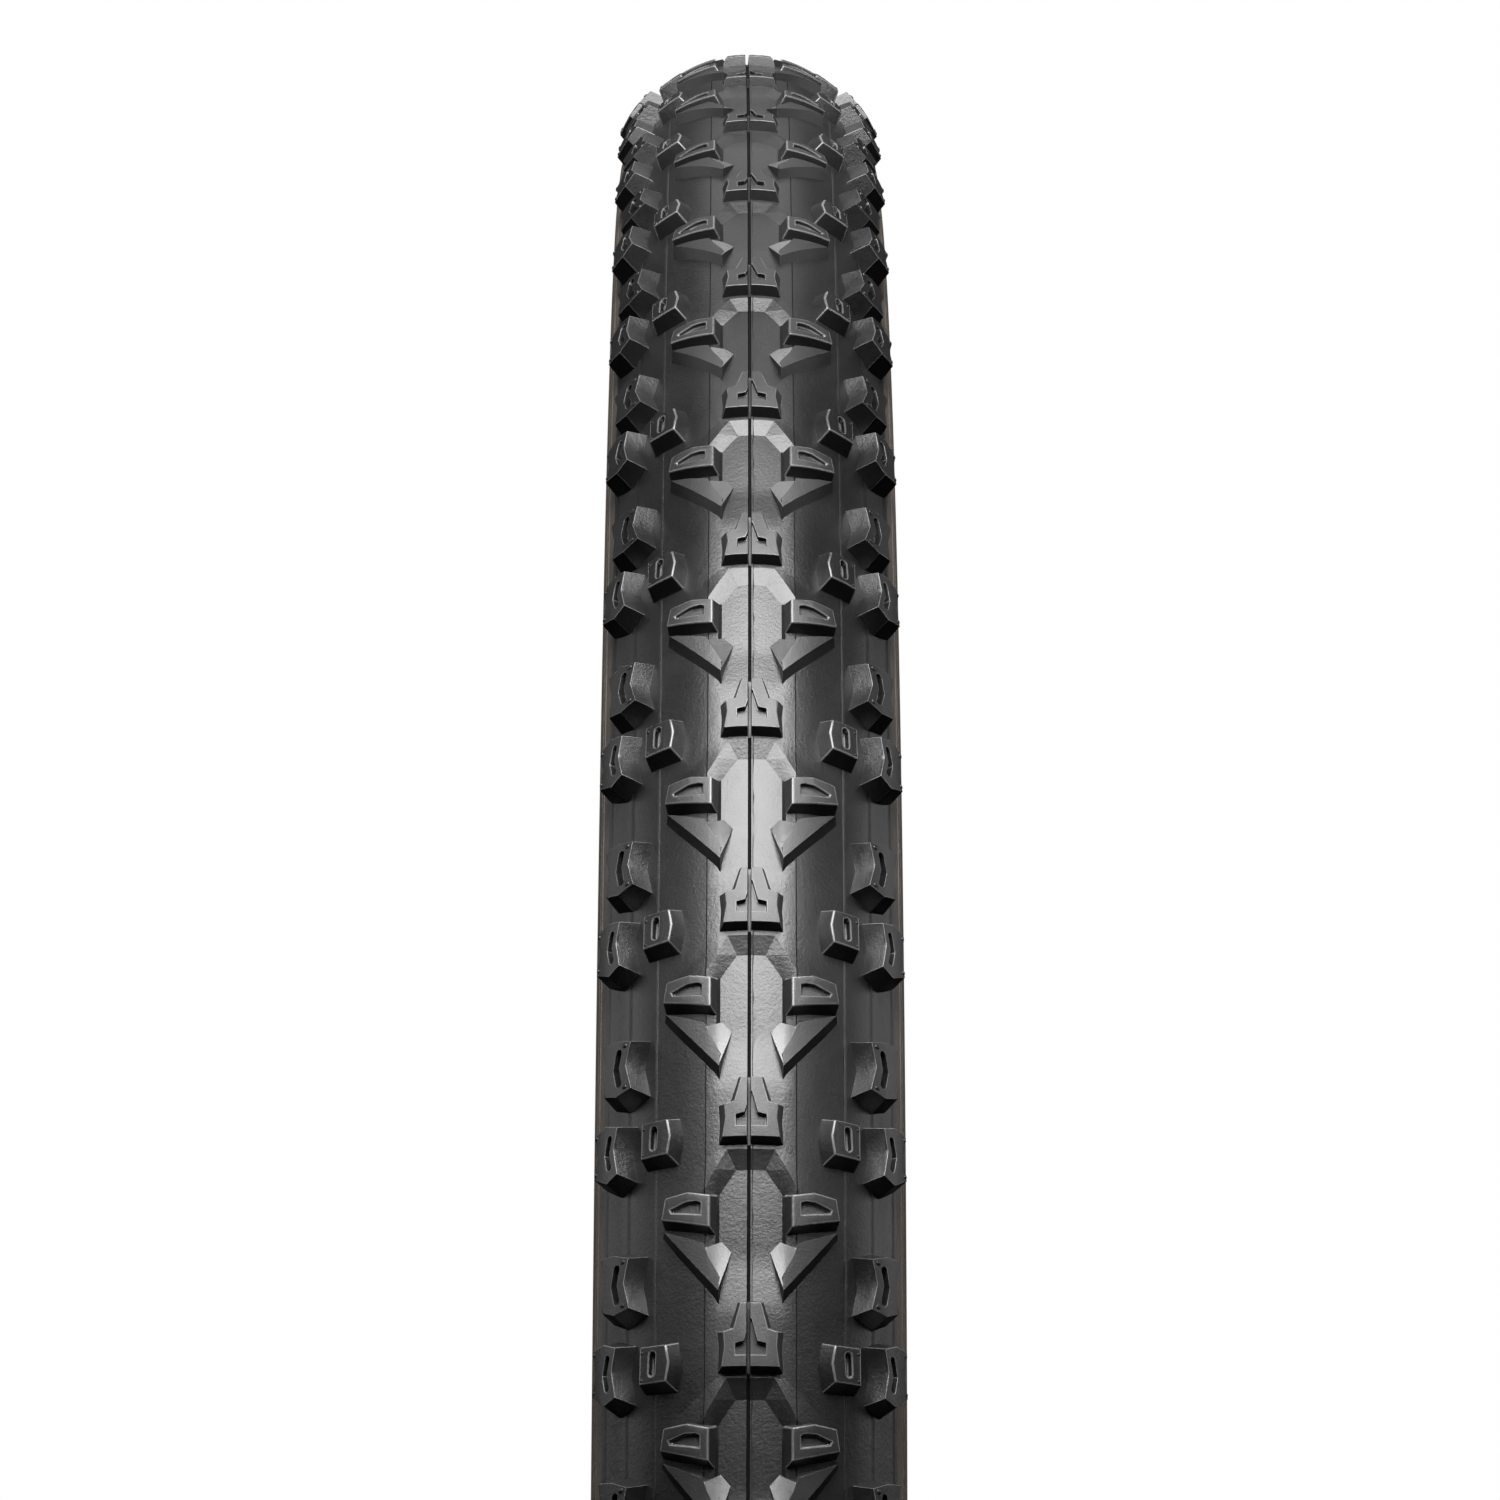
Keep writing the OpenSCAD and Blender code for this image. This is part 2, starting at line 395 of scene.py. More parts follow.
finishes = {
    "tread": rubber("treadRubber", {"black": grey(0.003), "wearAndHighlight": grey(0.007), "rough": 0.36,
                                    "cells": 1700, "skin": 0.32}),
    "knob": rubber("knobRubber", {"black": grey(0.004), "wearAndHighlight": grey(0.010), "rough": 0.44,
                                  "cells": 2100, "skin": 0.22}),
    "shoulder": rubber("shoulderRubber", {"black": grey(0.003), "wearAndHighlight": (0.008, 0.0075, 0.0075),
                                          "rough": 0.37, "cells": 1700, "skin": 0.28}),
    # painted highlight: the edge rubber is painted far lighter than the knobs, so that the bevels
    # and the arrow tails' facets show as bright lines and faces
    "edge": rubber("edgeHighlightRubber", {"black": grey(0.055), "wearAndHighlight": grey(0.115), "rough": 0.27,
                                  "cells": 2100, "skin": 0.05}),
    # painted shade: the groove rubber is darker than the tread and barely reflects, so that the
    # groove and the mould lines look shadowed
    "groove": rubber("grooveShadeRubber", {"black": grey(0.002), "wearAndHighlight": grey(0.004), "rough": 0.75,
                                      "cells": 1500, "skin": 0.2, "shine": 0.05}),
    "sidewall": rubber("sidewallRubber", {"black": (0.022, 0.019, 0.017),
                                          "wearAndHighlight": (0.046, 0.037, 0.029), "rough": 0.48,
                                          "cells": 1300, "skin": 0.35, "bloom": 0.05}),
}


ringMap = "round"                       # UV map of the rings, in millimetres


def strands(name, look):
    # cloth or cord seen through rubber: ridges that follow the piece's own UV map
    made, nodes, links, shader = newMaterial(name)
    uv = nodes.new("ShaderNodeUVMap")
    uv.uv_map = ringMap
    turned = []
    for angle in look["angles"]:
        mapping = nodes.new("ShaderNodeMapping")
        mapping.inputs["Rotation"].default_value = (0, 0, math.radians(angle))
        links.new(uv.outputs["UV"], mapping.inputs["Vector"])
        wave = nodes.new("ShaderNodeTexWave")
        wave.inputs["Scale"].default_value = look["threads"]
        wave.inputs["Distortion"].default_value = 0.4
        wave.inputs["Detail"].default_value = 1
        links.new(mapping.outputs["Vector"], wave.inputs["Vector"])
        turned.append(wave.outputs["Fac"])
    ridges = turned[0]
    if len(turned) > 1:
        ridges = mixValue(nodes, links, 'MAXIMUM', turned[0], turned[1])
    where = nodes.new("ShaderNodeTexCoord").outputs["Object"]
    patches = noise(nodes, links, where, 60, 4)
    tone = mixValue(nodes, links, 'ADD', mixValue(nodes, links, 'MULTIPLY', ridges, 0.45),
                    mixValue(nodes, links, 'MULTIPLY', patches, 0.6))
    links.new(ramp(nodes, links, tone, [(0.2, look["dark"]), (0.85, look["light"])]),
              shader.inputs["Base Color"])
    rough = [(0.3, grey(look["rough"] - 0.06)), (0.8, grey(look["rough"] + 0.08))]
    links.new(ramp(nodes, links, patches, rough), shader.inputs["Roughness"])
    addBump(nodes, links, shader, ridges, look["relief"])
    return made


finishes["chafer"] = strands("chaferCloth", {
    "angles": (45, -45), "threads": 0.55, "dark": grey(0.016), "light": grey(0.045),
    "rough": 0.52, "relief": 0.6})
finishes["liner"] = strands("linerRubber", {
    "angles": (35,), "threads": 0.4, "dark": grey(0.018), "light": (0.042, 0.042, 0.045),
    "rough": 0.38, "relief": 0.25})


def hiddenLayer(name, dark, light, scale, metal, rough):
    # finish of a layer that the rubber covers
    made, nodes, links, shader = newMaterial(name)
    where = nodes.new("ShaderNodeTexCoord").outputs["Object"]
    weave = noise(nodes, links, where, scale, 4)
    links.new(ramp(nodes, links, weave, [(0.3, dark), (0.7, light)]), shader.inputs["Base Color"])
    links.new(ramp(nodes, links, weave, [(0.3, grey(rough - 0.08)), (0.7, grey(rough + 0.08))]),
              shader.inputs["Roughness"])
    shader.inputs["Metallic"].default_value = metal
    addBump(nodes, links, shader, weave, 0.5)
    return made


hidden = {
    "bead_core": hiddenLayer("beadWire", (0.36, 0.3, 0.2), (0.6, 0.52, 0.36), 900, 1.0, 0.35),
    "bead_wrap": hiddenLayer("cordCloth", (0.13, 0.1, 0.06), (0.26, 0.2, 0.13), 1600, 0.0, 0.8),
    "bead_filler": hiddenLayer("fillerRubber", grey(0.018), grey(0.035), 700, 0.0, 0.5),
    "casing_ply": hiddenLayer("plyCloth", (0.14, 0.11, 0.07), (0.28, 0.22, 0.14), 1800, 0.0, 0.8),
    "puncture_belt": hiddenLayer("beltCloth", (0.3, 0.22, 0.06), (0.48, 0.36, 0.12), 2000, 0.0, 0.7),
    "sidewall_guard": hiddenLayer("guardCloth", (0.1, 0.1, 0.11), (0.2, 0.2, 0.22), 2000, 0.0, 0.75),
}
for nodeName, cadPiece in frame["nodes"].items():
    for start, finish in hidden.items():
        if nodeName.startswith(start):
            cadPiece.data.materials.clear()
            cadPiece.data.materials.append(finish)
print("hidden layers have their finishes")


def finishPiece(piece, finish, slot, *nodes, second=None):
    if piece.data.materials:
        piece.data.materials[0] = finishes[finish]
    else:
        piece.data.materials.append(finishes[finish])
    if second:
        piece.data.materials.append(finishes[second])
    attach(piece, "root")
    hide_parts(*nodes)


def bothSides(model, name, finish, slot, node, angle=32):
    # the block drawn for the right half, and its mirror image for the left
    for side, sign in (("right", 1), ("left", -1)):
        piece = model.copy()
        piece.data = model.data.copy()
        bpy.context.collection.objects.link(piece)
        piece.name = name + side.title()
        if sign < 0:
            piece.data.transform(Matrix.Scale(-1, 4, (1, 0, 0)))
        repeatRound(piece)
        outwardNormals(piece)
        smooth(piece, angle, weigh=True)
        finishPiece(piece, finish, slot, node + "_" + side)
    bpy.data.objects.remove(model, do_unlink=True)


# ---------- centre strip: the channel, its ramps and the parting line ----------

# millimetres across the tread and along it from the front edge of a centre block
centreStrip = {
    "edge": tire["centreEdge"] * wallRadius / mm,
    "seam": 0.2,                        # where one repeat meets the next
    "ledge": 0.77,                      # the ramps start here, behind the centre block
    "rampStart": 4.24,                  # half width of the ramps at their start
    "rampFoot": (2.62, 4.48),           # where the middle ramp meets the channel's floor
    "ridgeEnd": (8.37, 8.08),
    "floorEnd": (5.66, 8.88),
    "creaseStart": (5.66, 0.46),
    "creaseEnd": (14.4, 8.04),
    "floor": -0.85,                     # depth of the channel
    "rim": (5.66, 6.2),                 # the channel's side wall, from its floor to the surface
    "ridgeRise": 0.4,
    "riseFrom": 21, "riseTo": 30.2,     # the channel's floor climbs back to the surface here
    "grooveLeft": -0.62, "grooveRight": -0.10, "groove": 0.45, "deepest": -1.12,
    "grooveWall": 0.08,                 # how far each wall of the groove leans
    "mouldLine": 8.1, "mouldRise": -0.05, "mouldHalf": 0.1,
    "flash": 0.1,                       # height of the thin rubber left beside the groove
    "flashTop": (-0.04, 0.16), "flashEdge": 0.42, "flashWander": 0.16,
    "underside": 5,                     # how far the rims go down before they meet
    # more lines for points, so that the strip can bend: across for both halves, then along
    "columns": (1.3, 2.62, 4.24, 5.66, 6.2, 7.6, 9, 10.5, 12, 13.5, 14.8),
    "rows": (13, 17.2, 25, 28, 34, 38, 11, 15, 19, 23, 32, 36, 40),
}


def lineAt(start, end, along):
    # where a line from start to end is, across the tread
    return start[0] + (along - start[1]) * (end[0] - start[0]) / (end[1] - start[1])


def stripHeight(across, along):
    c = centreStrip
    x = abs(across)
    base = shoulderFall(x)
    if along < c["ledge"]:
        return base
    if along >= c["floorEnd"][1] + near:
        depth = c["floor"] * (1 - between(along, c["riseFrom"], c["riseTo"]))
        return depth * (1 - between(x, *c["rim"])) + base
    start = (c["rampStart"], c["ledge"])
    crease = lineAt(c["creaseStart"], c["creaseEnd"], along)
    ridge = lineAt(start, c["ridgeEnd"], along)
    ridgeHigh = c["ridgeRise"] * between(along, c["ledge"], c["ridgeEnd"][1])
    if x >= crease:
        return base
    if x >= ridge:
        return base + ridgeHigh * (crease - x) / (crease - ridge)
    down = between(along, c["ledge"], c["rampFoot"][1])
    if down < 1:
        side = lineAt(start, c["rampFoot"], along)
    else:
        side = lineAt(c["rampFoot"], c["floorEnd"], min(along, c["floorEnd"][1]))
    low = c["floor"] * down
    if x <= side:
        return low
    return low + (ridgeHigh - low) * (x - side) / max(ridge - side, 1e-6)


def onFold(point, fold):
    # whether a point lies on a fold or its mirror image, within its two ends
    (a0, s0), (a1, s1) = fold
    a, s = abs(point[0]), point[1]
    if not min(s0, s1) - 2 * near <= s <= max(s0, s1) + 2 * near:
        return False
    length = math.hypot(a1 - a0, s1 - s0)
    return abs((a - a0) * (s1 - s0) - (s - s0) * (a1 - a0)) / length < 2 * near


def stripLines():
    # straight cuts through the whole strip: a point in millimetres, and which way the cut faces
    c = centreStrip
    lines = []
    for across in c["columns"]:
        lines += [((across, 0), (1, 0)), ((-across, 0), (1, 0))]
    left, right, wall = c["grooveLeft"], c["grooveRight"], c["grooveWall"]
    mould, half = c["mouldLine"], c["mouldHalf"]
    for across in (left - wall, left + wall, right - wall, *c["flashTop"], c["flashEdge"],
                   -mould - half, -mould, -mould + half, mould - half, mould, mould + half):
        lines.append(((across, 0), (1, 0)))
    for along in (c["ledge"], c["rampFoot"][1], c["ridgeEnd"][1], c["floorEnd"][1],
                  c["riseFrom"], c["riseTo"]) + c["rows"]:
        lines.append(((0, along), (0, 1)))
    return lines


def stripFolds():
    c = centreStrip
    start = (c["rampStart"], c["ledge"])
    slanted = ((c["creaseStart"], c["creaseEnd"]), (start, c["ridgeEnd"]),
               (start, c["rampFoot"]), (c["rampFoot"], c["floorEnd"]))
    level = (((0, c["ledge"]), start), ((0, c["rampFoot"][1]), c["rampFoot"]),
             (c["ridgeEnd"], c["floorEnd"]))
    return slanted, level


def shapeStrip(strip):
    # gives every point of the flat strip its height
    c = centreStrip
    seamEnd = c["seam"] + pitch / mm
    wander = [random.uniform(-c["flashWander"], c["flashWander"]) for i in range(60)]
    for vertex in strip.data.vertices:
        across, along = vertex.co.x / mm, -vertex.co.y / mm
        high = stripHeight(across, along)
        if abs(abs(across) - c["mouldLine"]) < near:
            high += c["mouldRise"]
        if c["grooveLeft"] < across < c["grooveRight"]:
            high = max(high - c["groove"], c["deepest"])
        elif c["grooveRight"] < across < c["flashTop"][1] + 0.1:
            high += c["flash"]
        vertex.co.z = high * mm
        # the flash wanders, but not at the ends, where the next repeat joins on
        if abs(across - c["flashEdge"]) < near and c["seam"] + 1 < along < seamEnd - 1:
            vertex.co.x += wander[int(along)] * mm


def closeStrip(strip):
    # the two long rims go down and meet underneath
    def onRim(line):
        ends = [strip.data.vertices[i].co for i in line.vertices]
        return all(abs(abs(end.x) / mm - centreStrip["edge"]) < near for end in ends)

    editOnly(strip, 'EDGE', strip.data.edges, onRim)
    down = centreStrip["underside"] * mm
    bpy.ops.mesh.extrude_edges_move(TRANSFORM_OT_translate={"value": (0, 0, -down)})
    endEdit()
    for vertex in strip.data.vertices:
        if vertex.co.z < -down / 2:
            vertex.co.z = -tire["treadThick"]
    makeActive(strip)
    bpy.ops.object.mode_set(mode='EDIT')
    bpy.ops.mesh.bridge_edge_loops(number_cuts=14)
    endEdit()


def makeCentreStrip():
    c = centreStrip
    deselectAll()
    bpy.ops.mesh.primitive_plane_add(size=1, location=(0, -(c["seam"] + pitch / mm / 2) * mm, 0))
    strip = bpy.context.object
    strip.name = "treadCentre"
    bpy.ops.transform.resize(value=(2 * c["edge"] * mm, pitch, 1))
    bpy.ops.object.transform_apply(location=True, rotation=True, scale=True)
    for (a, s), facing in stripLines():
        startEdit(strip)
        cut((a * mm, -s * mm, 0), (*facing, 0))
        endEdit()
    # the slanted folds cut only the rows that hold the ramps, so both ends keep the same points
    slanted, level = stripFolds()
    for sign in (1, -1):
        for (a0, s0), (a1, s1) in slanted:
            editOnly(strip, 'FACE', strip.data.polygons,
                     lambda face: c["ledge"] < -face.center.y / mm < c["floorEnd"][1])
            cut((sign * a0 * mm, -s0 * mm, 0),
                Vector((s1 - s0, sign * (a1 - a0), 0)).normalized())
            endEdit()
    shapeStrip(strip)
    for line in strip.data.edges:
        ends = [(strip.data.vertices[i].co.x / mm, -strip.data.vertices[i].co.y / mm)
                for i in line.vertices]
        line.use_edge_sharp = any(all(onFold(end, fold) for end in ends)
                                  for fold in slanted + level)
    # the groove and the mould lines take the second finish, darker and duller than the tread:
    # painted shade in them
    for face in strip.data.polygons:
        across = face.center.x / mm
        inGroove = c["grooveLeft"] - 0.05 < across < c["grooveRight"] + 0.02
        if inGroove or abs(abs(across) - c["mouldLine"]) < c["mouldHalf"]:
            face.material_index = 1
    closeStrip(strip)
    repeatRound(strip)
    mergeClose(strip)
    outwardNormals(strip)
    smooth(strip, 16)
    finishPiece(strip, "tread", "tread_rubber", "tread_center_strip", "channel_ramps",
                second="groove")


makeCentreStrip()
print("centre strip")


# ---------- blocks of the tread, drawn for the right half ----------

# Points are millimetres across, along and high; a foot's height is that of the rubber around it.

centreBlock = {
    "top": [(4.7, -0.9, 2), (-4.7, -0.9, 2), (-4.2, -4.5, 2), (-4.4, -7.0, 2), (-2.8, -7.5, 2),
            (-1.7, -12.2, 1.7), (1.7, -12.2, 1.7), (2.8, -7.5, 2), (4.4, -7.0, 2), (4.2, -4.5, 2)],
    "foot": [(5.9, 0.05), (-5.9, 0.05), (-5.7, -4.2), (-6.0, -7.6), (-3.8, -8.1),
             (-2.3, -12.9), (2.3, -12.9), (3.8, -8.1), (6.0, -7.6), (5.7, -4.2)],
    "recess": [(2.5, -2.9), (-2.5, -2.9), (-2.5, -5.0), (-1.05, -5.35), (-0.12, -9.3),
               (0.12, -9.3), (1.05, -5.35), (2.5, -5.0)],
    "recessFloor": 1.0,
    "groove": [(centreStrip["grooveLeft"] - 0.1, -14), (centreStrip["grooveRight"] + 0.08, -14),
               (centreStrip["grooveRight"] + 0.08, 1.5), (centreStrip["grooveLeft"] - 0.1, 1.5)],
    "grooveFloor": -0.3,
}


def makeCentreBlocks():
    b = centreBlock
    model = block("centreBlocks", b["top"], b["foot"], sink=0.4)
    carve(model, b["recess"], b["recessFloor"], 4)
    softenEdges(model, 0.22)
    carve(model, b["groove"], b["grooveFloor"], 4)
    cutAcross(model, -5.2, 5.2, 1.15)
    repeatRound(model)
    outwardNormals(model)
    smooth(model, 32, weigh=True)
    finishPiece(model, "knob", "tread_rubber", "center_knobs")


arrowHead = {
    "top": [(6.8, -31.8, 1.95), (10.6, -32.7, 1.95), (14.8, -32.2, 1.75), (15.5, -28.3, 1.7),
            (6.8, -26.0, 1.95)],
    "foot": [(5.7, -32.6, -0.85), (10.6, -33.4), (15.6, -32.9), (16.7, -27.3),
             (5.7, -24.3, -0.85)],
    "recess": [(8.35, -28.4), (8.35, -30.6), (9.2, -30.9), (10.9, -30.9), (13.8, -29.9),
               (13.5, -29.3)],
    "recessFloor": 1.05,
}


def makeArrowHeads():
    b = arrowHead
    model = block("arrowHead", b["top"], b["foot"], sink=0.35)
    carve(model, b["recess"], b["recessFloor"], 4)
    softenEdges(model, 0.26)
    cutAcross(model, 7.4, 16)
    bothSides(model, "arrowHeads", "knob", "tread_rubber", "arrow_head_knobs")


arrowTail = {
    "top": [(8.0, -23.2, 1.4), (15.2, -26.2, 1.1), (5.4, -14.6, 1.4), (5.3, -17, 1.35),
            (7.2, -21.0, 1.4)],
    "foot": [(8.6, -24.6), (17.1, -25.9), (5.6, -12.2), (4.9, -17, -0.6), (6.5, -21.0, -0.5)],
    # the facet is the slope that goes down into the channel
    "facetTop": [(7.6, -22.4, 1.38), (7.2, -21.0, 1.38), (5.4, -15.0, 1.34),
                 (3.5, -21.9, -0.8), (5.3, -23.8, -0.6)],
    "facetFoot": [(8.0, -23.4, -0.6), (7.6, -21.0, -0.6), (5.6, -14.4, -0.5),
                  (3.3, -22.1, -1.0), (5.2, -24.2, -1.0)],
}


def makeArrowTails():
    b = arrowTail
    model = block("arrowTail", b["top"], b["foot"], sink=0.35)
    combine(model, block("facet", b["facetTop"], b["facetFoot"], sink=0.1), 'UNION')
    # the facet takes the edge finish: as smooth as the edges, and painted lighter, a painted
    # highlight on it
    for face in model.data.polygons:
        if face.normal.x < -0.3 and face.normal.z > 0.6:
            face.material_index = 1
    softenEdges(model, 0.18)
    cutAcross(model, 4.2, 16.5, 1.6)
    bothSides(model, "arrowTails", "knob", "tread_rubber", "arrow_tail_knobs")


def makeSlottedKnob(knob):
    model = block("knob", knob["top"], knob["foot"])
    carve(model, slotOutline(knob["slot"], knob["slotWide"]), knob["slotFloor"])
    softenEdges(model)
    cutAcross(model, *knob["cuts"])
    for across, along, high, size in knob["pips"]:
        pip(model, across, along, high, size)
    bothSides(model, knob["name"], "shoulder", "shoulder_rubber", knob["node"])


transitionBlock = {
    "name": "transitionBlocks", "node": "transition_knobs",
    "top": [(13.8, -2.5, 1.9), (14.4, -5.5, 1.9), (19.6, -5.7, 1.8), (19.7, 1.0, 1.8),
            (14.4, 1.0, 1.9)],
    "foot": [(12.2, -1.9), (13.0, -6.5), (20.6, -6.7), (20.9, 2.5), (13.2, 2.9)],
    "slot": [(17.0, -4.1), (17.15, -0.8)],
    "slotWide": 1.25, "slotFloor": 0.55,
    "cuts": (12.8, 20.5),
    "pips": [(19.1, -4.6, 1.8, 0.32), (19.2, 0.3, 1.8, 0.3)],
}

innerShoulder = {
    "name": "innerShoulders", "node": "inner_shoulder_knobs",
    "top": [(22.7, -18.0, 2.6), (21.6, -22.4, 2.6), (25.0, -23.6, 2.65), (29.2, -24.0, 2.5),
            (27.9, -18.4, 2.55), (28.6, -13.9, 2.5), (25.0, -12.5, 2.65), (21.4, -13.2, 2.6)],
    "foot": [(21.2, -17.8), (19.8, -23.2), (25.0, -24.9), (30.6, -25.1), (29.5, -18.5),
             (30.4, -12.3), (25.4, -10.2), (19.8, -12.1)],
    "slot": [(24.35, -21.0), (25.1, -18.0), (24.3, -14.9)],
    "slotWide": 1.5, "slotFloor": 1.0,
    "cuts": (20.6, 30.2),
    "pips": [(22.9, -22.0, 2.62, 0.5), (22.9, -13.9, 2.62, 0.5)],
}

outerShoulder = {
    "name": "outerShoulders", "node": "outer_shoulder_knobs",
    "top": [(25.3, -2.3, 2.8), (24.4, -6.5, 2.8), (27.4, -7.6, 2.8), (31.4, -7.3, 2.6),
            (30.3, -2.3, 2.65), (31.6, 1.2, 2.6), (27.2, 3.7, 2.8), (24.3, 2.6, 2.8)],
    "foot": [(24.2, -2.1), (22.9, -7.2), (27.5, -8.8), (33.0, -8.3), (31.9, -2.4),
             (33.2, 2.6), (27.8, 5.6), (22.8, 3.9)],
    "slot": [(26.4, -4.8), (27.2, -2.0), (26.5, 0.7)],
    "slotWide": 1.3, "slotFloor": 1.3,
    "cuts": (23.6, 33),
    "pips": [(30.7, -6.5, 2.66, 0.4), (30.9, 0.6, 2.66, 0.4)],
}

for makeBlocks in (makeCentreBlocks, makeArrowHeads, makeArrowTails):
    makeBlocks()
    print(makeBlocks.__name__, "done")
for slottedKnob in (transitionBlock, innerShoulder, outerShoulder):
    makeSlottedKnob(slottedKnob)
    print(slottedKnob["name"], "done")


# ---------- rings turned round the axle ----------

def sectionPoint(inward, angle):
    # a point by its depth under the casing's outside and its angle from the crown
    radius = wallRadius - inward
    return Vector((sectionCentre + radius * math.cos(angle), radius * math.sin(angle), 0))


def sectionArc(inward, first, last, step=math.radians(2.5)):
    count = max(2, math.ceil(abs(last - first) / step))
    return [sectionPoint(inward, first + (last - first) * i / count) for i in range(count + 1)]


def turnRing(name, profile, left=False, steps=252):
    # a closed profile in the plane of the axle, spun once round it
    if left:
        profile = [Vector((p.x, -p.y, 0)) for p in reversed(profile)]
    ring = outline(name, profile, filled=False)
    startEdit(ring)
    bpy.ops.mesh.spin(steps=steps, angle=2 * math.pi, center=(0, 0, 0), axis=(0, 1, 0))
    bpy.ops.mesh.select_all(action='SELECT')
    bpy.ops.mesh.remove_doubles(threshold=tire["mergeWithin"])
    endEdit()
    outwardNormals(ring)
    return ring


def ringUv(ring):
    # millimetres round the tire and across its section, with no seam inside a face
    mesh = ring.data
    layer = mesh.uv_layers.new(name=ringMap)
    for face in mesh.polygons:
        turns = [math.atan2(mesh.vertices[i].co.z, mesh.vertices[i].co.x) for i in face.vertices]
        for index, turn in zip(face.loop_indices, turns):
            if turn - turns[0] > math.pi:
                turn -= 2 * math.pi
            elif turns[0] - turn > math.pi:
                turn += 2 * math.pi
            point = mesh.vertices[mesh.loops[index].vertex_index].co
            reach = math.hypot(point.x, point.z) - sectionCentre
            section = math.atan2(point.y, reach)
            layer.data[index].uv = (turn * tire["treadRadius"] / mm, section * wallRadius / mm)


def ridged(first, last, ridges, step=1.1):
    # points of an outer surface in millimetres, with small ridges raised on it
    places = {}
    count = math.ceil((last - first) / step)
    for i in range(count + 1):
        places[first + (last - first) * i / count] = 0
    for at, half, high in ridges:
        for key in [k for k in places if abs(k - at) < half * 1.6 and k not in (first, last)]:
            del places[key]
        for offset, rise in ((-half, 0), (-half * 0.5, high), (half * 0.5, high), (half, 0)):
            places[at + offset] = rise
    return sorted(places.items())


# each ridge is its place across, half width and height in millimetres
shoulderStrip = {
    "name": "treadShoulder", "finish": "tread", "slot": "shoulder_rubber",
    "node": "tread_shoulder_", "angle": 30,
    "from": tire["centreEdge"], "to": tire["treadEdge"],
    "ridges": ((18.3, 0.12, -0.03), (25.6, 0.12, -0.03), (33.0, 0.35, 0.10)),
}

sidewall = {
    "name": "sidewall", "finish": "sidewall", "slot": "sidewall_rubber",
    "node": "sidewall_rubber_", "angle": 35,
    "from": tire["treadEdge"], "to": tire["wallEnd"],
    "ridges": ((36.2, 0.30, 0.16), (37.6, 0.18, 0.10), (58.5, 0.35, 0.22), (60.4, 0.35, 0.22),
               (66.5, 0.55, 0.35), (68.6, 0.30, 0.20)),
}


def makeOuterRings(b):
    first, last = (b[end] * wallRadius / mm for end in ("from", "to"))
    outer = [sectionPoint(-(shoulderFall(a) + rise) * mm, a * mm / wallRadius)
             for a, rise in ridged(first, last, b["ridges"])]
    inner = sectionArc(tire["wallThick"], b["to"], b["from"])
    for side in ("right", "left"):
        ring = turnRing(b["name"] + side.title(), outer + inner, side == "left")
        smooth(ring, b["angle"])
        finishPiece(ring, b["finish"], b["slot"], b["node"] + side)


chafer = {
    "out": frame["record"]["mounts"][1]["pos_m"][1],
    "wide": 5.6 * mm, "high": 4.4 * mm, "bevel": 1.0 * mm, "thick": 0.6 * mm,
    "over": 0.12 * mm,                  # the inner leg lies this far over the filler
}


def makeChafers():
    c = chafer
    inside = c["out"] - c["wide"]
    toe = seatRadius + (c["high"] + tire["casingThick"]) / 2
    wallOuter = sectionPoint(0, tire["wallEnd"])
    wallInner = sectionPoint(tire["casingThick"], tire["wallEnd"])
    out, bevel, thick = c["out"], c["bevel"], c["thick"]
    corners = [(seatRadius, inside + bevel * 0.8), (seatRadius, out - bevel),
               (seatRadius + 0.3 * bevel, out - 0.3 * bevel), (seatRadius + bevel, out),
               (wallOuter.x, wallOuter.y), (wallOuter.x, wallOuter.y - thick),
               (seatRadius + thick, out - thick), (seatRadius + thick, inside + thick),
               (toe + thick, inside + thick), (wallInner.x, wallInner.y),
               (wallInner.x + c["over"], wallInner.y - c["over"]), (toe, inside),
               (seatRadius + bevel, inside), (seatRadius + 0.35 * bevel, inside + 0.25 * bevel)]
    for side in ("right", "left"):
        ring = turnRing("chafer" + side.title(), [Vector((*corner, 0)) for corner in corners],
                        side == "left")
        ringUv(ring)
        smooth(ring, 35)
        finishPiece(ring, "chafer", "chafer_rubber", "chafer_" + side)


def makeLiner():
    thick = 0.4 * mm
    outer = sectionArc(tire["casingThick"] - thick, -tire["wallEnd"], tire["wallEnd"])
    inner = sectionArc(tire["casingThick"], tire["wallEnd"], -tire["wallEnd"])
    ring = turnRing("innerLiner", outer + inner)
    ringUv(ring)
    smooth(ring, 40)
    finishPiece(ring, "liner", "liner_rubber", "inner_liner")


for outerRing in (shoulderStrip, sidewall):
    makeOuterRings(outerRing)
    print(outerRing["name"], "done")
makeChafers()
makeLiner()
print("chafers and liner done")


# ---------- camera, light and floor ----------

view = {
    "lens": 170.145, "sensor": 36,
    "from": (1.58698, -0.00681, 0.0),
    "up": 7.8764, "right": 0.29197, "roll": 0.2343,      # degrees
}
front = (0.33, 0, 0.13)                 # the part of the tread that faces the camera
softboxes = {                           # place, aim, size and watts
    "keyLight": ((1.17, 0, 1.60), front, (1.7, 1.35), 104),
    "overhead": ((-0.9, 0, 2.0), (0, 0, 0.2), (1.6, 1.0), 5),
    "leftSide": ((-0.6, -2.6, 1.0), (0, 0, 0), (1.8, 1.2), 8),
    "rightSide": ((-0.8, 2.6, 1.0), (0, 0, 0), (1.8, 1.2), 8),
    "leftStrip": ((1.15, -1.75, 1.65), front, (0.22, 1.1), 5),
    "rightStrip": ((1.15, 1.75, 1.65), front, (0.22, 1.1), 5),
}


